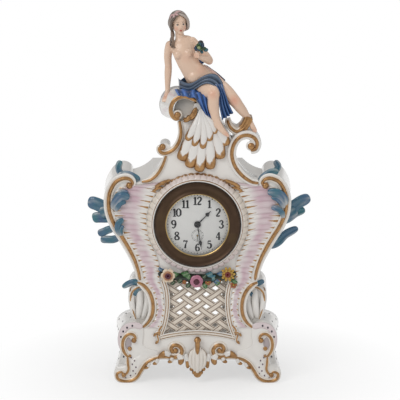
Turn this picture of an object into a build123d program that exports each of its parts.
"""Porcelain figural mantel clock: a pierced rococo case on scroll feet, a seated nymph on the crest
and a drum movement with a lever escapement, wound and set from behind.

Millimetres. X runs to the right, Y to the back and Z up; the dial looks along -Y and the clock stands on Z = 0.
"""

import math
import os

from build123d import *

# Case
front_y = -36.0
case_depth = 82.0
wall = 7.0
flare = 5.0
apron_z = 29.0
notch_z = 216.0
crest_z = 228.0
crest_seat_half = 46.0
shoulder_half = 96.0
waist_half = 49.5
foot_joint_half = 62.0
band_radius = 3.2

# Access opening in the back wall
access_radius = 46.0
access_half = 27.0
access_sill_z = 52.0

# Fluted fields beside the dial
flute_low_z = 64.0
flute_top_z = 213.0
flute_margin = 3.0
rib_pitch = 6.0
rib_groove = 0.9
relief = 2.0

# Feet, pendant and leaves
foot_toe_x = 80.0
foot_toe_radius = 9.3
foot_scroll_x = 69.0
foot_scroll_z = 51.5
foot_scroll_radius = 14.8
foot_overhang = 4.0
sole_cut = 1.0
foot_spread = 6.0
console_y = -27.0
console_half = 73.0
console_low_z = 60.5
console_spread = 3.0
pendant_top_z = 48.0
pendant_low_z = 8.0
pendant_half = 6.2
leaf_y = -10.0
leaf_thickness = 8.0
leaf_half = 121.0

# Dial opening and its porcelain ring
dial_z = 174.0
surround_outer = 52.0
surround_rise = 11.0
surround_lip = 1.6
lobe_rise = 4.0
surround_gap = 0.6
lobe_count = 48
lobe_radius = 2.6

# Lattice below the dial
window_top_z = 113.0
window_half = 36.0
lattice_depth = 5.0
lattice_frame = 3.5
lattice_centre_z = 82.0
lattice_pitch_x = 18.8
lattice_pitch_z = 13.4
lattice_bar = 3.8

# Crest and seat
crest_depth = 26.0
seat_radius = 13.0
seat_band = 5.5
seat_x = -16.0
seat_z = 296.0
scroll_band = 6.0
seat_overhang = 4.0

# Nymph
head_half_width = 9.2
head_half_height = 11.8
hair_radius = 11.4
bun_radius = 6.5

# Drum, bezel, glass and dial
drum_inner = 40.0
drum_wall = 1.0
drum_length = 40.0
drum_front = -44.0
cap_thickness = 1.0
cap_hole = 3.0
clamp_width = 4.5
clamp_thickness = 2.0
bezel_outer = 45.0
bezel_inner = 32.6
bezel_rim_y = -46.4
bezel_crown_y = -49.2
bezel_valley_y = -47.6
bezel_lip_y = -49.0
glass_seat_y = -46.6
glass_edge = 34.5
glass_thickness = 1.2
glass_rise = 3.6
dial_thickness = 1.0
dial_front = -43.0
hand_thickness = 0.4
hour_hand_y = -44.5
minute_hand_y = -45.5
second_hand_y = -43.7
hour_hand_length = 20.0
minute_hand_length = 27.0
second_hand_length = 5.2

# Plates of the movement
front_plate_y = -38.0
plate_thickness = 2.0
plate_gap = 16.0
plate_radius = 37.0
pillar_radius = 2.2
pillar_circle = 33.5
running_clearance = 0.04

# Teeth of the wheels, leaves of the pinions
barrel_teeth = 60
centre_leaves = 10
barrel_module = 0.5
centre_teeth = 48
third_leaves = 6
centre_module = 0.42
third_teeth = 45
fourth_leaves = 6
third_module = 0.40
fourth_teeth = 48
escape_leaves = 6
fourth_module = 0.36
cannon_leaves = 12
minute_teeth = 36
minute_leaves = 10
hour_teeth = 40
motion_module = 0.35

# Other parts of the train
centre_arbor_radius = 1.2
cannon_radius = 1.5
hour_pipe_radius = 2.3
train_arbor = 0.5
pivot = 0.35
stud_radius = 0.8
barrel_arbor_radius = 1.6
barrel_core = 3.0
barrel_radius = 13.6
barrel_wall = 1.0
spring_strip = 0.5
spring_turns = 5
hairspring_strip = 0.14
hairspring_turns = 4
escape_teeth = 15
escape_radius = 5.5
escape_root = 4.2
ratchet_teeth = 24
ratchet_radius = 6.0
ratchet_root = 5.0
click_distance = 9.4
seconds_drop = 12.0
lever_reach = 7.0
balance_x = -22.0
balance_drop = 13.0
balance_radius = 7.5
balance_rim = 1.2
barrel_bearing = 130.0
escape_bearing = 220.0
minute_wheel_bearing = 180.0
knob_radius = 4.0
key_wing = 5.5
key_spread = 6.5

# Time shown
minutes_past = 28.5
hour_angle = 30.0 * (1 + minutes_past / 60.0)
minute_angle = 6.0 * minutes_past
second_angle = 180.0

back_y = front_y + case_depth
drum_outer = drum_inner + drum_wall
drum_back = drum_front + drum_length
front_inner_y = front_y + wall
back_inner_y = back_y - wall
BASE = (Align.CENTER, Align.CENTER, Align.MIN)


def front(y, x=0.0, z=0.0, turn=0.0):
    """Front-view plane at depth y, its normal looking out of the dial and its x axis turned up from +X."""
    tilt = math.radians(turn)
    return Plane(origin=(x, y, z), x_dir=(math.cos(tilt), 0, math.sin(tilt)), z_dir=(0, -1, 0))


def stem(x, z, radius, y_front, y_back, mode=Mode.ADD):
    """Round bar along Y in the active part."""
    with Locations(front(y_back, x, z)):
        Cylinder(radius, y_back - y_front, align=BASE, mode=mode)


def flowing(start, heading, *stops):
    """Chain of tangent arcs from start through the stops, in the active line."""
    arc = TangentArc(start, stops[0], tangent=heading)
    for stop in stops[1:]:
        arc = TangentArc(arc @ 1, stop, tangent=arc % 1)
    return arc


def moulding(start, heading, *stops, radius=band_radius, y=front_y, start_eye=0.0, end_eye=0.0):
    """Half-round scroll moulding laid on the front-view plane at depth y, with round eyes at its ends."""
    with BuildPart() as strip:
        with BuildLine(front(y)) as spine:
            flowing(start, Vector(heading[0], 0, heading[1]), *stops)
        with BuildSketch(Plane(origin=spine.line @ 0, z_dir=spine.line % 0)):
            Circle(radius)
        sweep(path=spine.line)
        if start_eye:
            with Locations(spine.line @ 0):
                Sphere(start_eye)
        if end_eye:
            with Locations(spine.line @ 1):
                Sphere(end_eye)
        split(bisect_by=front(y), keep=Keep.TOP)
    return strip


def mirrored(piece):
    """Left-hand copy of a right-hand piece."""
    with BuildPart() as copy:
        add(mirror(piece.part, about=Plane.YZ))
    return copy


def less(piece, *others):
    """The piece with the space taken by other pieces cut away."""
    with BuildPart() as rest:
        add(piece.part)
        for other in others:
            add(other.part, mode=Mode.SUBTRACT)
    return rest


def largest(piece):
    """The piece without loose offcuts."""
    with BuildPart() as main:
        add(piece.part.solids().sort_by(SortBy.VOLUME)[-1])
    return main


def limb(*stations):
    """Tapered limb through stations of (x, y, z, radius), rounded at each station."""
    with BuildPart() as flesh:
        for start, end in zip(stations, stations[1:]):
            axis = Vector(*end[:3]) - Vector(*start[:3])
            with Locations(Plane(origin=start[:3], z_dir=axis)):
                Cone(start[3], end[3], axis.length, align=BASE)
        for station in stations:
            with Locations(station[:3]):
                Sphere(station[3] * 1.04)
    return flesh


# Case outline, front view

def side_line(grow):
    """Right-hand side of the case from the apron to the top, widened by grow at the shoulder."""
    k = 1.0 + grow / shoulder_half
    Line((foot_joint_half * k, apron_z), (foot_joint_half * k, 58))
    waist = ThreePointArc((foot_joint_half * k, 58), (waist_half * k, 83), (63 * k, 111))
    low = ThreePointArc(waist @ 1, (67.2 * k, 130.5), (78 * k, 151))
    Line(low @ 1, (90 * k, 172))
    high = ThreePointArc((90 * k, 172), (shoulder_half * k, 197), (82 * k, 223))
    curl = ThreePointArc(high @ 1, (74 * k, 224.5), (66 * k, notch_z))
    ThreePointArc(curl @ 1, (56.5 * k, notch_z + 3.5), (crest_seat_half * k, crest_z))


def case_section(y, grow):
    """Whole case outline at depth y."""
    with BuildSketch(front(y)) as section:
        with BuildLine():
            side_line(grow)
            k = 1.0 + grow / shoulder_half
            Line((crest_seat_half * k, crest_z), (0, crest_z))
            Line((0, apron_z), (foot_joint_half * k, apron_z))
            mirror(about=Plane.YZ)
        make_face()
    return section


with BuildPart() as case_form:
    loft([case_section(front_y, 0.0).sketch, case_section(back_y, flare).sketch], ruled=True)


def hollow_section(y):
    """Inside of the case at depth y, run out through the open bottom."""
    grow = flare * (y - front_y) / case_depth
    with BuildSketch(front(y)) as section:
        add(case_section(y, grow).sketch_local)
        offset(amount=-wall)
        with Locations((0, apron_z)):
            Rectangle(2 * (foot_joint_half * (1 + grow / shoulder_half) - wall), 2.5 * wall)
    return section


with BuildPart() as hollow:
    loft([hollow_section(front_inner_y).sketch, hollow_section(back_inner_y).sketch], ruled=True)

shell = less(case_form, hollow)


def window_edge():
    """Edge of the pierced window below the dial."""
    head = Line((-window_half, window_top_z), (window_half, window_top_z))
    right = ThreePointArc(head @ 1, (window_half - 4.5, 85), (window_half + 4, 49))
    sill = ThreePointArc(right @ 1, (0, 55), (-window_half - 4, 49))
    ThreePointArc(sill @ 1, (-window_half + 4.5, 85), head @ 0)


with BuildPart() as case_front:
    add(case_form.part)
    split(bisect_by=front(front_inner_y), keep=Keep.TOP)
    stem(0, dial_z, drum_outer + surround_gap, front_y - 1, front_inner_y + 1, mode=Mode.SUBTRACT)
    with BuildSketch(front(front_inner_y)):
        with BuildLine():
            window_edge()
        make_face()
    extrude(amount=wall, mode=Mode.SUBTRACT)

with BuildPart() as case_back:
    add(case_form.part)
    split(bisect_by=front(back_inner_y), keep=Keep.BOTTOM)
    with BuildSketch(front(back_y)):
        with Locations((0, dial_z)):
            Circle(access_radius)
        with Locations((0, (access_sill_z + dial_z) / 2)):
            Rectangle(2 * access_half, dial_z - access_sill_z)
    extrude(amount=wall, mode=Mode.SUBTRACT)


def case_half(keep):
    """One side of the case between its front and back walls."""
    with BuildPart() as half:
        add(shell.part)
        split(bisect_by=front(front_inner_y), keep=Keep.BOTTOM)
        split(bisect_by=front(back_inner_y), keep=Keep.TOP)
        split(bisect_by=Plane.YZ, keep=keep)
    return half


case_wall_right = case_half(Keep.TOP)
case_wall_left = case_half(Keep.BOTTOM)

# Ring round the dial, with a lobed edge
with BuildPart() as dial_surround:
    with BuildSketch(front(front_y, 0, dial_z)):
        Circle(surround_outer - lobe_radius)
        with PolarLocations(surround_outer - lobe_radius, lobe_count):
            Circle(lobe_radius)
        Circle(bezel_outer + surround_gap, mode=Mode.SUBTRACT)
    extrude(amount=lobe_rise)
    with BuildSketch(Plane(origin=(0, 0, dial_z), x_dir=(1, 0, 0), z_dir=(0, 0, 1))):
        ring_inner = bezel_outer + surround_gap
        ring_foot = surround_outer - lobe_radius
        with BuildLine():
            Polyline(
                (ring_inner, front_y - lobe_rise),
                (ring_inner, front_y - surround_rise),
                (ring_inner + surround_lip, front_y - surround_rise),
                (ring_foot, front_y - lobe_rise),
                close=True,
            )
        make_face()
    revolve(axis=Axis((0, 0, dial_z), (0, 1, 0)))

# Pierced trellis
cell_side = math.hypot(lattice_pitch_x, lattice_pitch_z) / 2
cell_height = lattice_pitch_x * lattice_pitch_z / 2 / cell_side
gap_share = 1 - lattice_bar / cell_height
gap_half_x = lattice_pitch_x / 2 * gap_share
gap_half_z = lattice_pitch_z / 2 * gap_share

with BuildSketch() as lattice_field:
    with BuildLine():
        window_edge()
    make_face()
    offset(amount=-lattice_frame)

with BuildSketch() as lattice_gaps:
    with Locations((0, lattice_centre_z)):
        with GridLocations(lattice_pitch_x, lattice_pitch_z, 5, 6):
            Polygon((gap_half_x, 0), (0, gap_half_z), (-gap_half_x, 0), (0, -gap_half_z))
        with GridLocations(lattice_pitch_x, lattice_pitch_z, 6, 7):
            Polygon((gap_half_x, 0), (0, gap_half_z), (-gap_half_x, 0), (0, -gap_half_z))
    add(lattice_field.sketch, mode=Mode.INTERSECT)

with BuildPart() as lattice_panel:
    with BuildSketch(front(front_inner_y)):
        with BuildLine():
            window_edge()
        make_face()
        add(lattice_gaps.sketch, mode=Mode.SUBTRACT)
    extrude(amount=lattice_depth)

# Fluted fields beside the dial
with BuildPart() as flute_field:
    with BuildSketch(front(front_y)):
        add(case_section(front_y, 0.0).sketch_local)
        offset(amount=-2 * band_radius)
        with Locations((shoulder_half, (flute_low_z + flute_top_z) / 2)):
            Rectangle(2 * shoulder_half, flute_top_z - flute_low_z, mode=Mode.INTERSECT)
        with Locations((0, flute_low_z)):
            Rectangle(2 * (window_half + flute_margin), 2 * (dial_z - flute_low_z), mode=Mode.SUBTRACT)
        with Locations((0, dial_z)):
            Circle(surround_outer + surround_gap, mode=Mode.SUBTRACT)
    extrude(amount=relief)
    groove_count = int((flute_top_z - flute_low_z) / rib_pitch)
    for step in range(1, groove_count + 1):
        with Locations((0, front_y - relief, flute_low_z + step * rib_pitch)):
            Cylinder(rib_groove, 2 * shoulder_half + 10, rotation=(0, 90, 0), mode=Mode.SUBTRACT)

# Scroll mouldings on the front
shoulder_scroll_right = moulding(
    (68.5, 214.5), (0.35, 1.0), (76, 221.2), (87, 216), (92.8, 200), (91.5, 184), (78.3, 158), (65.6, 134), (60.4, 114),
    start_eye=4.2,
)
shoulder_scroll_left = mirrored(shoulder_scroll_right)
waist_scroll_right = moulding((59.6, 107.5), (-1.0, -0.8), (46.3, 84), (58.4, 60.5), start_eye=3.8)
waist_scroll_left = mirrored(waist_scroll_right)
flute_panel_right = less(flute_field, shoulder_scroll_right, waist_scroll_right)
flute_panel_left = mirrored(flute_panel_right)
apron_scroll = moulding((21.6, 40.5), (1.0, 0.0), (26.6, 36.0), (34, 32.4), (57, 33), start_eye=4.0)
with BuildPart() as apron_scrolls:
    add(apron_scroll.part)
    add(mirrored(apron_scroll).part)

# Leaf drop at the middle of the apron
with BuildPart() as apron_pendant:
    with BuildSketch(front(front_y)):
        with BuildLine():
            stalk = Line((0, pendant_top_z), (2.4, pendant_top_z - 3))
            neck = ThreePointArc(stalk @ 1, (3.0, 38), (pendant_half, 27))
            tip = ThreePointArc(neck @ 1, (4.6, 15), (0, pendant_low_z))
            Line(tip @ 1, stalk @ 0)
        make_face()
    revolve(axis=Axis((0, front_y, 0), (0, 0, 1)))
    split(bisect_by=front(front_y), keep=Keep.TOP)

# Leaves on the shoulders, sides and waist
with BuildPart() as side_leaf:
    with BuildSketch(front(leaf_y + leaf_thickness)):
        with BuildLine():
            upper = ThreePointArc((90, 208), (106, 205), (leaf_half, 198))
            first = ThreePointArc(upper @ 1, (115.5, 191), (107, 188))
            second = ThreePointArc(first @ 1, (112, 183.5), (113.5, 177))
            third = ThreePointArc(second @ 1, (107.2, 173), (100, 172))
            last = ThreePointArc(third @ 1, (105, 166), (105.5, 160))
            lower = ThreePointArc(last @ 1, (96, 152), (80, 150))
            Line(lower @ 1, upper @ 0)
        make_face()
    extrude(amount=leaf_thickness)
with BuildPart() as shoulder_leaf:
    with BuildSketch(front(leaf_y + leaf_thickness)):
        with BuildLine():
            spread = ThreePointArc((64, 214), (66, 229), (82, 239))
            curl = ThreePointArc(spread @ 1, (82, 230), (90, 214))
            Line(curl @ 1, spread @ 0)
        make_face()
    extrude(amount=leaf_thickness)
with BuildPart() as waist_leaf:
    with BuildSketch(front(leaf_y + leaf_thickness)):
        with BuildLine():
            outer = ThreePointArc((58, 113), (71, 109), (79.5, 100))
            inner = ThreePointArc(outer @ 1, (64, 96), (48, 88))
            Line(inner @ 1, outer @ 0)
        make_face()
    extrude(amount=leaf_thickness)
with BuildPart() as leaves_right:
    add(side_leaf.part)
    add(shoulder_leaf.part)
    add(waist_leaf.part)
    add(case_form.part, mode=Mode.SUBTRACT)
leaves_left = mirrored(leaves_right)

# Scroll foot and waist console, run the depth of the case and spread to the back

def foot_section(y, spread):
    """Shank and sole of the right foot at depth y, the outer side moved out by spread."""
    toe_x = foot_toe_x + spread
    with BuildSketch(front(y)) as section:
        with BuildLine():
            bracket = ThreePointArc((42, apron_z), (59, 19.5), (foot_toe_x - 10, -sole_cut))
            sole = Line(bracket @ 1, (toe_x, -sole_cut))
            heel = Line(sole @ 1, (toe_x, 2 * foot_toe_radius))
            shank = ThreePointArc(heel @ 1, (76.2 + spread, 24), (78.5 + spread, 33))
            calf = Line(shank @ 1, (78.5 + spread, foot_scroll_z))
            shelf = Line(calf @ 1, (57, foot_scroll_z))
            drop = Line(shelf @ 1, (57, apron_z))
            Line(drop @ 1, bracket @ 0)
        make_face()
    return section


def curl_section(y, x, z, radius):
    """Round curl of the foot at depth y."""
    with BuildSketch(front(y)) as section:
        with Locations((x, z)):
            Circle(radius)
    return section


def console_section(y, spread):
    """Outline of the right waist console at depth y."""
    with BuildSketch(front(y)) as section:
        with BuildLine():
            crown = ThreePointArc((50, 98), (63 + spread, 104.5), (console_half + spread, 94))
            belly = ThreePointArc(crown @ 1, (72.4 + spread, 80), (67 + spread, console_low_z))
            base = Line(belly @ 1, (48, console_low_z))
            Line(base @ 1, crown @ 0)
        make_face()
    return section


foot_back_y = back_y + foot_overhang
with BuildPart() as foot_block:
    loft([foot_section(front_y, 0.0).sketch, foot_section(foot_back_y, foot_spread).sketch], ruled=True)
    for curl_x, curl_z, radius in (
        (foot_toe_x, foot_toe_radius, foot_toe_radius),
        (foot_scroll_x, foot_scroll_z, foot_scroll_radius),
    ):
        near = curl_section(front_y, curl_x, curl_z, radius)
        far = curl_section(foot_back_y, curl_x + foot_spread, curl_z, radius)
        loft([near.sketch, far.sketch], ruled=True)
    split(bisect_by=Plane.XY, keep=Keep.TOP)
with BuildPart() as console_block:
    loft([console_section(console_y, 0.0).sketch, console_section(back_y - 2, console_spread).sketch], ruled=True)
foot_curve = moulding((66.8, 52), (0.1, 1.0), (72.8, 59.4), (80, 50), (75.6, 34), radius=2.4, start_eye=3.0)
foot_line = moulding((46, 28.4), (1.0, -0.15), (60.8, 20), (66.6, 9), (75, 3), (84.2, 5), (82, 10.6), radius=2.2, end_eye=2.8)
console_line = moulding((57.5, 99.5), (1.0, 0.3), (64.5, 101.2), (70, 92), (69, 79), (65.6, 66), radius=1.6, y=console_y)
with BuildPart() as foot_right:
    add(foot_block.part)
    add(console_block.part)
    add(case_form.part, mode=Mode.SUBTRACT)
    add(leaves_right.part, mode=Mode.SUBTRACT)
    add(foot_curve.part)
    add(foot_line.part)
    add(console_line.part)
foot_left = mirrored(foot_right)

# Crest above the case: plate, seat scroll, side scrolls and shell
with BuildPart() as seat_scroll:
    with BuildSketch(front(front_y + crest_depth + seat_overhang)):
        with BuildLine() as seat_line:
            CenterArc((seat_x, seat_z), seat_radius - seat_band / 2, 10, 250)
        trace(seat_line.line, seat_band)
        with Locations(seat_line.line @ 1):
            Circle(seat_band * 0.8)
    extrude(amount=crest_depth + 2 * seat_overhang)

with BuildPart() as crest_volute:
    with BuildSketch(front(front_y + crest_depth)):
        with BuildLine() as rise_line:
            flowing((60, 219), (-1.0, 0.15), (45, 226.5), (36.5, 243), (40, 259), (50, 266), (59, 260), (56, 254))
        trace(rise_line.line, scroll_band)
        with Locations((55, 256)):
            Circle(scroll_band * 0.8)
    extrude(amount=crest_depth + seat_overhang)

crest_scroll_right = less(crest_volute, case_form)

with BuildPart() as crest_plate:
    with BuildSketch(front(front_y + crest_depth)):
        with BuildLine():
            sweep_up = flowing((-crest_seat_half, crest_z), (1.0, 0.9), (-36, 239), (-31, 249))
            inward = flowing(sweep_up @ 1, (1.0, 0.1), (-21, 254), (-15.5, 268), (-17.5, 284.5))
            perch = Line(inward @ 1, (-4.6, 291))
            ledge = Line(perch @ 1, (-4, 300))
            brow = Line(ledge @ 1, (8, 303))
            fall = flowing(brow @ 1, (0.6, -1.0), (20, 287), (33, 269), (37, 256), (36.5, 243), (44, crest_z))
            Line(fall @ 1, (-crest_seat_half, crest_z))
        make_face()
        with Locations((-34, 253)):
            Circle(6)
    extrude(amount=crest_depth)
crest = less(crest_plate, seat_scroll, crest_scroll_right)

crest_rise = moulding((-57, 219.5), (1.0, 0.3), (-45, 223.5), (-36, 234), (-31, 245), radius=2.4)
crest_curl = moulding((-36, 255), (0.2, -1.0), (-30, 251.5), (-21.5, 257), (-18.5, 269), (-20, 282), radius=2.4, start_eye=4.2)
with BuildPart() as crest_scroll_left:
    add(crest_rise.part)
    add(crest_curl.part)
    add(seat_scroll.part, mode=Mode.SUBTRACT)

with BuildPart() as shell_lobes:
    for tip_x, tip_z in ((-15, 248), (-7.5, 240), (1.5, 237), (12, 240), (23, 248), (29, 262)):
        add(limb((4, front_y, 292, 2.0), (tip_x, front_y, tip_z, 5.2)).part)
    for tip_x, tip_z in ((-8, 268), (-2.5, 263), (4.5, 261), (11.5, 265), (17.5, 273)):
        add(limb((4, front_y - 3, 293, 2.0), (tip_x, front_y - 4, tip_z, 4.0)).part)
    split(bisect_by=front(front_y), keep=Keep.TOP)
shell_ornament = less(shell_lobes, seat_scroll, crest_scroll_left, dial_surround)

# Flower swag between the dial and the lattice


def bloom(x, z, petals, petal_radius, ring, heart):
    """Flower with round petals about a heart, modelled on the front face."""
    with BuildPart() as flower:
        for step in range(petals):
            turn = 2 * math.pi * step / petals
            with Locations((x + ring * math.cos(turn), front_y - 2.5, z + ring * math.sin(turn))):
                Sphere(petal_radius)
        with Locations((x, front_y - 4.5, z)):
            Sphere(heart)
        split(bisect_by=front(front_y), keep=Keep.TOP)
    return flower


with BuildPart() as swag_flowers:
    add(bloom(-31, 118, 6, 3.2, 4.6, 3.0).part)
    add(bloom(32, 118.5, 8, 2.9, 5.0, 3.0).part)
    add(bloom(-1, 113, 5, 3.6, 3.4, 3.8).part)
    add(dial_surround.part, mode=Mode.SUBTRACT)
    add(flute_panel_left.part, mode=Mode.SUBTRACT)
    add(flute_panel_right.part, mode=Mode.SUBTRACT)

with BuildPart() as swag_sprays:
    for reach in (-18, -10, 8, 15, 21):
        add(limb((reach * 0.4, front_y, 113, 1.5), (reach, front_y - 1.0, 116 + abs(reach) * 0.1, 3.4)).part)
    split(bisect_by=front(front_y), keep=Keep.TOP)
swag_leaves = less(swag_sprays, swag_flowers, dial_surround)

# Seated nymph: trunk, head, hair, limbs, cloth and posy


def trunk_section(x, y, z, half_width, half_depth):
    """Oval section of the leaning trunk."""
    lean = Plane(origin=(x, y, z), x_dir=(1, 0, 0.38), z_dir=(-0.38, 0, 1))
    with BuildSketch(lean) as oval:
        Ellipse(half_width, half_depth)
    return oval.sketch


with BuildPart() as trunk:
    loft([
        trunk_section(1.5, -17, 309, 13.0, 10.5),
        trunk_section(-1.5, -17, 319, 13.6, 10.5),
        trunk_section(-7.5, -17, 332, 9.6, 7.6),
        trunk_section(-13.0, -18, 344, 11.0, 8.4),
        trunk_section(-16.0, -17.5, 353, 12.2, 8.6),
        trunk_section(-17.5, -16, 360, 11.4, 6.2),
        trunk_section(-18.2, -15.5, 365, 5.0, 4.6),
        trunk_section(-19.0, -16, 371, 4.4, 4.4),
    ])
nymph_torso = less(trunk, crest, seat_scroll, shell_ornament)

with BuildPart() as skull:
    with BuildSketch(Plane(origin=(-19.6, -17, 381.5), x_dir=(1, 0, 0.25), z_dir=(0, -1, 0))):
        Ellipse(head_half_width, head_half_height)
        with Locations((-head_half_height, 0)):
            Rectangle(2 * head_half_height, 4 * head_half_height, mode=Mode.SUBTRACT)
    revolve(axis=Axis((-19.6, -17, 381.5), (-0.25, 0, 1)))
nymph_head = less(skull, trunk)

with BuildPart() as hair_mass:
    with Locations((-20.2, -14.5, 385.0)):
        Sphere(hair_radius)
    with Locations((-24, -7.5, 380)):
        Sphere(bun_radius)
    add(limb((-27, -14, 376, 3.4), (-27.5, -19, 366, 2.6), (-27, -21.5, 357, 1.6)).part)
    with BuildSketch(Plane(origin=(-17.0, -21.5, 384.5), x_dir=(1, 0, 0.25), z_dir=(0.15, -1, 0.55))):
        Rectangle(40, 40)
    extrude(amount=30, mode=Mode.SUBTRACT)
nymph_hair = less(hair_mass, skull, trunk)

leg_near = limb((4, -19, 316, 9.2), (19.5, -45, 309.5, 6.4), (20.8, -45.5, 276, 3.3))
foot_near = limb((20.8, -45.5, 273.5, 3.4), (29, -47.5, 264.5, 2.4))
leg_far = limb((10, -17, 315, 9.0), (36.5, -36, 303.5, 5.8), (50.6, -30, 284, 3.1))
foot_far = limb((50.6, -30, 283, 3.2), (58.5, -31, 271.5, 2.3))
with BuildPart() as nymph_legs:
    add(leg_near.part)
    add(foot_near.part)
    add(leg_far.part)
    add(foot_far.part)
    for other in (trunk, crest, seat_scroll, shell_ornament, crest_scroll_right):
        add(other.part, mode=Mode.SUBTRACT)

with BuildPart() as lap_cloth:
    add(limb((-6, -17, 315, 13.0), (12, -34, 313, 9.6)).part)
    add(limb((8, -19, 315, 12.4), (25, -28, 308, 8.8)).part)
    add(limb((22, -36, 305, 7.5), (26, -42, 279, 2.6)).part)
    add(limb((9, -38, 305, 5.0), (11, -42, 284, 2.4)).part)
    add(limb((-8, -24, 308, 8.0), (-15, -30, 307.5, 5.0)).part)
drapery = largest(less(lap_cloth, trunk, nymph_legs, crest, seat_scroll, shell_ornament))

arm_near = limb((-29.0, -15, 356, 4.6), (-30.0, -9.5, 334, 3.5), (-30.5, -14, 311, 2.5), (-30.0, -18, 306.5, 2.7))
arm_far = limb((-5.0, -15, 358.5, 4.5), (12.2, -20, 340.5, 3.5), (2.5, -29.5, 345.5, 2.4), (1.0, -31, 348, 2.6))
with BuildPart() as nymph_arms:
    add(arm_near.part)
    add(arm_far.part)
    for other in (trunk, hair_mass, lap_cloth, seat_scroll):
        add(other.part, mode=Mode.SUBTRACT)

with BuildPart() as posy_stems:
    for lift_x, lift_y, lift_z, size in ((2, -33, 353, 4.2), (6.5, -31, 356.5, 3.6), (0.5, -30, 358, 3.4), (7, -33, 350.5, 3.0)):
        with Locations((lift_x, lift_y, lift_z)):
            Sphere(size)
posy = less(posy_stems, trunk, arm_near, arm_far)

# Wheel work: tooth outlines, meshing and centres


def toothed(teeth, module, phase, share=0.42, addendum=0.9, dedendum=1.35):
    """Outline points of a wheel or pinion whose first tooth stands at the phase angle, in degrees."""
    pitch = 360.0 / teeth
    pitch_radius = teeth * module / 2
    half = share * pitch / 2
    root = pitch_radius - dedendum * module
    flank = pitch_radius + 0.55 * addendum * module
    tip = pitch_radius + addendum * module
    tooth_form = (
        (root, -half), (pitch_radius, -half), (flank, -0.7 * half), (tip, -0.2 * half),
        (tip, 0.2 * half), (flank, 0.7 * half), (pitch_radius, half), (root, half),
    )
    points = []
    for tooth in range(teeth):
        for radius, offset_angle in tooth_form:
            turn = math.radians(phase + tooth * pitch + offset_angle)
            points.append((radius * math.cos(turn), radius * math.sin(turn)))
    return points


def sawtoothed(teeth, root, tip):
    """Outline points of a ratchet or escape wheel with pointed teeth."""
    points = []
    for tooth in range(teeth):
        start = 2 * math.pi * tooth / teeth
        end = 2 * math.pi * (tooth + 0.82) / teeth
        points.append((tip * math.cos(start), tip * math.sin(start)))
        points.append((root * math.cos(end), root * math.sin(end)))
    return points


def meshing_phase(driver_teeth, driver_phase, bearing, teeth):
    """Phase that puts a gap of the driven wheel against a tooth of the driver."""
    past = ((bearing - driver_phase) * driver_teeth / 360.0) % 1.0
    return bearing + 180.0 - (0.5 - past) * 360.0 / teeth


def bearing_of(start, end):
    return math.degrees(math.atan2(end[1] - start[1], end[0] - start[0]))


def polar(start, distance, bearing):
    turn = math.radians(bearing)
    return (start[0] + distance * math.cos(turn), start[1] + distance * math.sin(turn))


def ring_of_teeth(centre, points, y_front, y_back):
    """Toothed disc at a centre, in the active part."""
    with BuildPart() as disc:
        with BuildSketch(front(y_back, *centre)):
            with BuildLine():
                Polyline(*points, close=True)
            make_face()
        extrude(amount=y_back - y_front)
    add(disc.part)


def spiral_strip(centre, inner, outer, turns, strip, y_front, y_back):
    """Flat spiral spring of half-turn arcs."""
    step = (outer - inner) / (2 * turns)
    with BuildPart() as spring:
        with BuildSketch(front(y_back, *centre)):
            with BuildLine() as coil:
                for half in range(2 * turns):
                    radius = inner + half * step
                    middle = step / 2 if half % 2 else -step / 2
                    CenterArc((middle, 0), radius + step / 2, 180 * (half % 2), 180)
            trace(coil.line, strip)
        extrude(amount=y_back - y_front)
    return spring


plate_inner_front = front_plate_y + plate_thickness
plate_inner_back = plate_inner_front + plate_gap
back_plate_back = plate_inner_back + plate_thickness

centre = (0.0, dial_z)
barrel_at = polar(centre, (barrel_teeth + centre_leaves) / 2 * barrel_module, barrel_bearing)
centre_to_third = (centre_teeth + third_leaves) / 2 * centre_module
third_to_fourth = (third_teeth + fourth_leaves) / 2 * third_module
fourth_at = (0.0, dial_z - seconds_drop)
third_drop = (centre_to_third ** 2 - third_to_fourth ** 2 + seconds_drop ** 2) / (2 * seconds_drop)
third_at = (math.sqrt(centre_to_third ** 2 - third_drop ** 2), dial_z - third_drop)
escape_at = polar(fourth_at, (fourth_teeth + escape_leaves) / 2 * fourth_module, escape_bearing)
balance_at = (balance_x, dial_z - balance_drop)
lever_bearing = bearing_of(escape_at, balance_at)
lever_at = polar(escape_at, lever_reach, lever_bearing)
motion_distance = (cannon_leaves + minute_teeth) / 2 * motion_module
minute_wheel_at = polar(centre, motion_distance, minute_wheel_bearing)
hour_module = 2 * motion_distance / (minute_leaves + hour_teeth)
click_at = polar(barrel_at, click_distance, 75)

centre_pinion_phase = meshing_phase(barrel_teeth, 0, bearing_of(barrel_at, centre), centre_leaves)
third_pinion_phase = meshing_phase(centre_teeth, 0, bearing_of(centre, third_at), third_leaves)
fourth_pinion_phase = meshing_phase(third_teeth, 0, bearing_of(third_at, fourth_at), fourth_leaves)
escape_pinion_phase = meshing_phase(fourth_teeth, 0, escape_bearing, escape_leaves)
minute_wheel_phase = meshing_phase(cannon_leaves, 0, minute_wheel_bearing, minute_teeth)
hour_wheel_phase = meshing_phase(minute_leaves, 0, minute_wheel_bearing + 180, hour_teeth)

# Drum, bezel, glass and dial


def turned_profile():
    """Half-section plane of parts turned about the dial axis: radius along x, depth along y."""
    return Plane(origin=(0, 0, dial_z), x_dir=(1, 0, 0), z_dir=(0, 0, 1))


dial_axis = Axis((0, 0, dial_z), (0, 1, 0))

with BuildPart() as drum:
    stem(*centre, drum_outer, drum_front, drum_back)
    stem(*centre, drum_inner, drum_front, drum_back, mode=Mode.SUBTRACT)

with BuildPart() as clamp_ring:
    stem(*centre, drum_outer + clamp_width, front_inner_y, front_inner_y + clamp_thickness)
    stem(*centre, drum_outer, front_inner_y, front_inner_y + clamp_thickness, mode=Mode.SUBTRACT)

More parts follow.
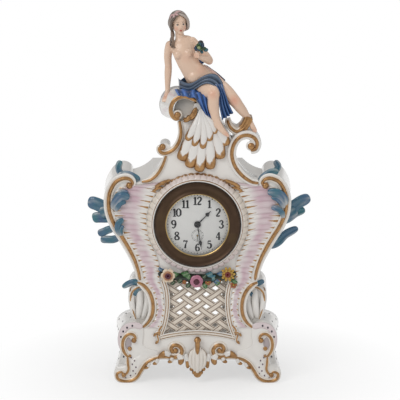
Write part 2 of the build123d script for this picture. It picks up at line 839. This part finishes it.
with BuildPart() as back_cap:
    stem(*centre, drum_inner, drum_back - cap_thickness, drum_back)
    for hole in (centre, barrel_at):
        stem(*hole, cap_hole, drum_back - 2 * cap_thickness, drum_back + cap_thickness, mode=Mode.SUBTRACT)

with BuildPart() as bezel:
    with BuildSketch(turned_profile()):
        with BuildLine():
            Polyline(
                (glass_edge, drum_front), (drum_outer, drum_front), (drum_outer, front_y), (bezel_outer, front_y),
                (bezel_outer, bezel_rim_y), (bezel_outer - 1.8, bezel_crown_y),
            )
            ThreePointArc(
                (bezel_outer - 1.8, bezel_crown_y), (bezel_inner + 6, bezel_valley_y), (bezel_inner + 2, bezel_lip_y)
            )
            Polyline(
                (bezel_inner + 2, bezel_lip_y), (bezel_inner, bezel_lip_y + 1.2), (bezel_inner, glass_seat_y),
                (glass_edge, glass_seat_y), (glass_edge, drum_front),
            )
        make_face()
    revolve(axis=dial_axis)

with BuildPart() as glass:
    with BuildSketch(turned_profile()):
        dome_edge = bezel_inner - 0.2
        dome_radius = (dome_edge ** 2 + glass_rise ** 2) / (2 * glass_rise)
        dome_half_angle = math.degrees(math.asin(dome_edge / dome_radius))
        dome_y = glass_seat_y - glass_rise + dome_radius
        inner_y = glass_seat_y + glass_thickness
        with BuildLine():
            outside = CenterArc((0, dome_y), dome_radius, -90, dome_half_angle)
            rim = Polyline((glass_edge, glass_seat_y), (glass_edge, inner_y), (dome_edge, inner_y))
            inside = CenterArc((0, dome_y + glass_thickness), dome_radius, -90, dome_half_angle)
            Line(outside @ 1, rim @ 0)
            Line(inside @ 0, outside @ 0)
        make_face()
    revolve(axis=dial_axis)

with BuildPart() as dial:
    stem(*centre, drum_inner, dial_front, dial_front + dial_thickness)
    stem(*centre, hour_pipe_radius + 0.3, dial_front - 1, dial_front + 2, mode=Mode.SUBTRACT)
    stem(*fourth_at, train_arbor + 0.4, dial_front - 1, dial_front + 2, mode=Mode.SUBTRACT)


def spade_hand(at, angle, y, length, boss, bore, stem_half, spade_half):
    """Spade hand turned clockwise from twelve by the angle."""
    with BuildPart() as hand:
        with BuildSketch(front(y + hand_thickness, *at, turn=-angle)):
            Circle(boss)
            Polygon((-stem_half, 0), (stem_half, 0), (0.4 * stem_half, length), (-0.4 * stem_half, length), align=None)
            if spade_half:
                Polygon(
                    (0, 0.92 * length), (spade_half, 0.72 * length), (0, 0.6 * length), (-spade_half, 0.72 * length),
                    align=None,
                )
            Circle(bore, mode=Mode.SUBTRACT)
        extrude(amount=hand_thickness)
    return hand


hour_hand = spade_hand(
    centre, hour_angle, hour_hand_y, hour_hand_length, hour_pipe_radius + 1.2, hour_pipe_radius, 0.7, 2.4
)
minute_hand = spade_hand(
    centre, minute_angle, minute_hand_y, minute_hand_length, cannon_radius + 1.2, cannon_radius, 0.6, 1.9
)
second_hand = spade_hand(
    fourth_at, second_angle, second_hand_y, second_hand_length, train_arbor + 0.5, train_arbor, 0.3, 0.0
)

# Plates and pillars
with BuildPart() as front_plate:
    stem(*centre, drum_inner, front_plate_y, plate_inner_front)
    stem(*centre, centre_arbor_radius + running_clearance, front_plate_y, plate_inner_front, mode=Mode.SUBTRACT)
    stem(*fourth_at, train_arbor + running_clearance, front_plate_y, plate_inner_front, mode=Mode.SUBTRACT)
    stem(*barrel_at, barrel_arbor_radius + running_clearance, front_plate_y, plate_inner_front, mode=Mode.SUBTRACT)
    for hole in (third_at, escape_at, lever_at, balance_at):
        stem(*hole, pivot + running_clearance, front_plate_y, plate_inner_front, mode=Mode.SUBTRACT)
    stem(*minute_wheel_at, stud_radius, front_plate_y - 3.6, front_plate_y)

with BuildPart() as back_plate:
    stem(*centre, plate_radius, plate_inner_back, back_plate_back)
    stem(*centre, centre_arbor_radius + running_clearance, plate_inner_back, back_plate_back, mode=Mode.SUBTRACT)
    stem(*barrel_at, barrel_arbor_radius + running_clearance, plate_inner_back, back_plate_back, mode=Mode.SUBTRACT)
    for hole in (third_at, fourth_at, escape_at, lever_at, balance_at):
        stem(*hole, pivot + running_clearance, plate_inner_back, back_plate_back, mode=Mode.SUBTRACT)
    stem(*click_at, stud_radius, back_plate_back, back_plate_back + 2.6)

with BuildPart() as pillars:
    for pillar_bearing in (60, 170, 250, 330):
        stem(*polar(centre, pillar_circle, pillar_bearing), pillar_radius, plate_inner_front, plate_inner_back)

# Power: barrel, mainspring, winding arbor with ratchet, click and key
wheel_y = plate_inner_front + 1.5
barrel_y = wheel_y + 2.0
barrel_end = barrel_y + 9.0
with BuildPart() as barrel:
    ring_of_teeth(barrel_at, toothed(barrel_teeth, barrel_module, 0), wheel_y, barrel_y)
    stem(*barrel_at, barrel_radius, barrel_y, barrel_end)
    stem(*barrel_at, barrel_radius - barrel_wall, barrel_y, barrel_end - barrel_wall, mode=Mode.SUBTRACT)
    stem(*barrel_at, barrel_arbor_radius + running_clearance, wheel_y, barrel_end, mode=Mode.SUBTRACT)

mainspring = spiral_strip(
    barrel_at, barrel_core + 1.0, barrel_radius - barrel_wall - 0.6, spring_turns, spring_strip,
    barrel_y + 0.4, barrel_end - barrel_wall - 0.4,
)

ratchet_y = back_plate_back + 0.8
with BuildPart() as winding_arbor:
    stem(*barrel_at, barrel_arbor_radius, front_plate_y + 0.2, drum_back + 9)
    stem(*barrel_at, barrel_core, barrel_y + 0.3, barrel_end - barrel_wall - 0.3)
    ring_of_teeth(barrel_at, sawtoothed(ratchet_teeth, ratchet_root, ratchet_radius), ratchet_y, ratchet_y + 1.4)

with BuildPart() as click:
    with BuildSketch(front(ratchet_y + 1.4, *click_at)):
        Circle(2.0)
        Polygon((-0.4, 2.0), (-5.2, -1.0), (-4.6, -2.2), (1.2, -1.6), align=None)
        Circle(stud_radius + running_clearance, mode=Mode.SUBTRACT)
    extrude(amount=1.4)

with BuildPart() as winding_key:
    stem(*barrel_at, barrel_arbor_radius + 1.6, drum_back + 1, drum_back + 11)
    with BuildSketch(Plane(origin=(barrel_at[0], 0, barrel_at[1] - 1), x_dir=(1, 0, 0), z_dir=(0, 0, 1))):
        for side in (-1, 1):
            with Locations((side * key_spread, drum_back + 12)):
                Circle(key_wing)
                Circle(key_wing * 0.45, mode=Mode.SUBTRACT)
        with Locations((0, drum_back + 10)):
            Rectangle(2 * (key_spread - 2), 4)
    extrude(amount=2)
    stem(*barrel_at, barrel_arbor_radius, drum_back, drum_back + 9, mode=Mode.SUBTRACT)

# Going train


def train_wheel(at, leaves, pinion_module, pinion_phase, pinion_front, pinion_back, points, rim_front, rim_back, nose):
    """Arbor with a cut pinion and a wheel; nose is the depth of its front end."""
    with BuildPart() as wheel:
        stem(*at, train_arbor, plate_inner_front + 0.2, plate_inner_back - 0.2)
        stem(*at, pivot, nose, back_plate_back - 0.3)
        ring_of_teeth(at, toothed(leaves, pinion_module, pinion_phase, share=0.34, addendum=0.55), pinion_front, pinion_back)
        ring_of_teeth(at, points, rim_front, rim_back)
    return wheel


centre_wheel_y = plate_inner_front + 13.6
third_wheel_y = plate_inner_front + 9.0
fourth_wheel_y = plate_inner_front + 5.5
escape_wheel_y = plate_inner_front + 9.5

with BuildPart() as centre_wheel:
    ring_of_teeth(
        centre, toothed(centre_leaves, barrel_module, centre_pinion_phase, share=0.36, addendum=0.6),
        wheel_y - 0.4, barrel_y + 0.6,
    )
    stem(*centre, 1.6, wheel_y - 0.4, centre_wheel_y + 1.4)
    ring_of_teeth(centre, toothed(centre_teeth, centre_module, 0), centre_wheel_y, centre_wheel_y + 1.0)
    stem(*centre, centre_arbor_radius + running_clearance, wheel_y - 1, centre_wheel_y + 2, mode=Mode.SUBTRACT)

third_wheel = train_wheel(
    third_at, third_leaves, centre_module, third_pinion_phase, centre_wheel_y - 0.5, centre_wheel_y + 1.5,
    toothed(third_teeth, third_module, 0), third_wheel_y, third_wheel_y + 0.8, front_plate_y + 0.3,
)
with BuildPart() as fourth_wheel:
    add(train_wheel(
        fourth_at, fourth_leaves, third_module, fourth_pinion_phase, third_wheel_y - 0.5, third_wheel_y + 1.3,
        toothed(fourth_teeth, fourth_module, 0), fourth_wheel_y, fourth_wheel_y + 0.8, second_hand_y,
    ).part)
    stem(*fourth_at, train_arbor, second_hand_y - 0.2, plate_inner_front + 1)
escape_wheel = train_wheel(
    escape_at, escape_leaves, fourth_module, escape_pinion_phase, fourth_wheel_y - 0.5, fourth_wheel_y + 1.3,
    sawtoothed(escape_teeth, escape_root, escape_radius), escape_wheel_y, escape_wheel_y + 0.6, front_plate_y + 0.3,
)

with BuildPart() as pallet_lever:
    stem(*lever_at, train_arbor, plate_inner_front + 0.2, plate_inner_back - 0.2)
    stem(*lever_at, pivot, front_plate_y + 0.3, back_plate_back - 0.3)
    with BuildSketch(front(escape_wheel_y + 0.7, *lever_at, turn=lever_bearing)):
        Circle(1.3)
        with Locations((2.6, 0)):
            Rectangle(5.2, 1.0)
        with Locations((5.2, 0)):
            Rectangle(1.6, 2.0)
        with Locations((0, 0)):
            Rectangle(1.0, 7.6)
        for side in (-1, 1):
            with Locations((-0.6, side * 3.5)):
                Rectangle(1.6, 0.8)
    extrude(amount=0.8)

with BuildPart() as balance_wheel:
    stem(*balance_at, train_arbor, plate_inner_front + 0.2, plate_inner_back - 0.2)
    stem(*balance_at, pivot, front_plate_y + 0.3, back_plate_back - 0.3)
    stem(*balance_at, 1.5, plate_inner_front + 10.0, plate_inner_front + 11.0)
    with BuildSketch(front(plate_inner_front + 12.8, *balance_at)):
        Circle(balance_radius)
        Circle(balance_radius - balance_rim, mode=Mode.SUBTRACT)
        Rectangle(2 * balance_radius - balance_rim, balance_rim)
        Circle(1.4)
    extrude(amount=1.2)

hairspring = spiral_strip(
    balance_at, train_arbor + 0.2, 4.8, hairspring_turns, hairspring_strip,
    plate_inner_front + 13.6, plate_inner_front + 14.2,
)

# Motion work and hand setting
with BuildPart() as centre_arbor:
    stem(*centre, centre_arbor_radius, minute_hand_y - 0.4, drum_back + 7)
    stem(*centre, cannon_radius, minute_hand_y - 0.2, front_plate_y - 1.8)
    ring_of_teeth(
        centre, toothed(cannon_leaves, motion_module, 0, share=0.38, addendum=0.7), front_plate_y - 2.0, front_plate_y - 0.4
    )

with BuildPart() as minute_wheel:
    ring_of_teeth(
        minute_wheel_at, toothed(minute_teeth, motion_module, minute_wheel_phase), front_plate_y - 1.8, front_plate_y - 0.6
    )
    ring_of_teeth(
        minute_wheel_at, toothed(minute_leaves, hour_module, 0, share=0.36, addendum=0.6),
        front_plate_y - 3.5, front_plate_y - 1.8,
    )
    stem(*minute_wheel_at, stud_radius + running_clearance, front_plate_y - 4, front_plate_y, mode=Mode.SUBTRACT)

with BuildPart() as hour_wheel:
    ring_of_teeth(centre, toothed(hour_teeth, hour_module, hour_wheel_phase), front_plate_y - 3.4, front_plate_y - 2.4)
    stem(*centre, hour_pipe_radius, hour_hand_y - 0.1, front_plate_y - 2.4)
    stem(*centre, cannon_radius + running_clearance, hour_hand_y - 1, front_plate_y, mode=Mode.SUBTRACT)

with BuildPart() as setting_knob:
    stem(*centre, knob_radius, drum_back + 1, drum_back + 7)
    stem(*centre, centre_arbor_radius, drum_back, drum_back + 8, mode=Mode.SUBTRACT)

# Files, one for each piece
pieces = {
    "case_front": case_front, "case_back": case_back, "case_wall_left": case_wall_left,
    "case_wall_right": case_wall_right, "crest": crest, "dial_surround": dial_surround,
    "lattice_panel": lattice_panel, "flute_panel_left": flute_panel_left, "flute_panel_right": flute_panel_right,
    "shoulder_scroll_left": shoulder_scroll_left, "shoulder_scroll_right": shoulder_scroll_right,
    "waist_scroll_left": waist_scroll_left, "waist_scroll_right": waist_scroll_right,
    "apron_scrolls": apron_scrolls, "apron_pendant": apron_pendant, "foot_left": foot_left,
    "foot_right": foot_right, "seat_scroll": seat_scroll, "crest_scroll_left": crest_scroll_left,
    "crest_scroll_right": crest_scroll_right, "shell_ornament": shell_ornament, "leaves_left": leaves_left,
    "leaves_right": leaves_right, "swag_flowers": swag_flowers, "swag_leaves": swag_leaves,
    "nymph_torso": nymph_torso, "nymph_head": nymph_head, "nymph_hair": nymph_hair, "nymph_arms": nymph_arms,
    "nymph_legs": nymph_legs, "drapery": drapery, "posy": posy, "bezel": bezel, "glass": glass, "dial": dial,
    "drum": drum, "back_cap": back_cap, "clamp_ring": clamp_ring, "front_plate": front_plate,
    "back_plate": back_plate, "pillars": pillars, "barrel": barrel, "mainspring": mainspring,
    "winding_arbor": winding_arbor, "winding_key": winding_key, "click": click, "centre_wheel": centre_wheel,
    "third_wheel": third_wheel, "fourth_wheel": fourth_wheel, "escape_wheel": escape_wheel,
    "pallet_lever": pallet_lever, "balance_wheel": balance_wheel, "hairspring": hairspring,
    "centre_arbor": centre_arbor, "minute_wheel": minute_wheel, "hour_wheel": hour_wheel, "hour_hand": hour_hand,
    "minute_hand": minute_hand, "second_hand": second_hand, "setting_knob": setting_knob,
}
os.makedirs("parts", exist_ok=True)
for name, piece in pieces.items():
    piece.part.label = name
    export_step(piece.part, f"parts/{name}.step")
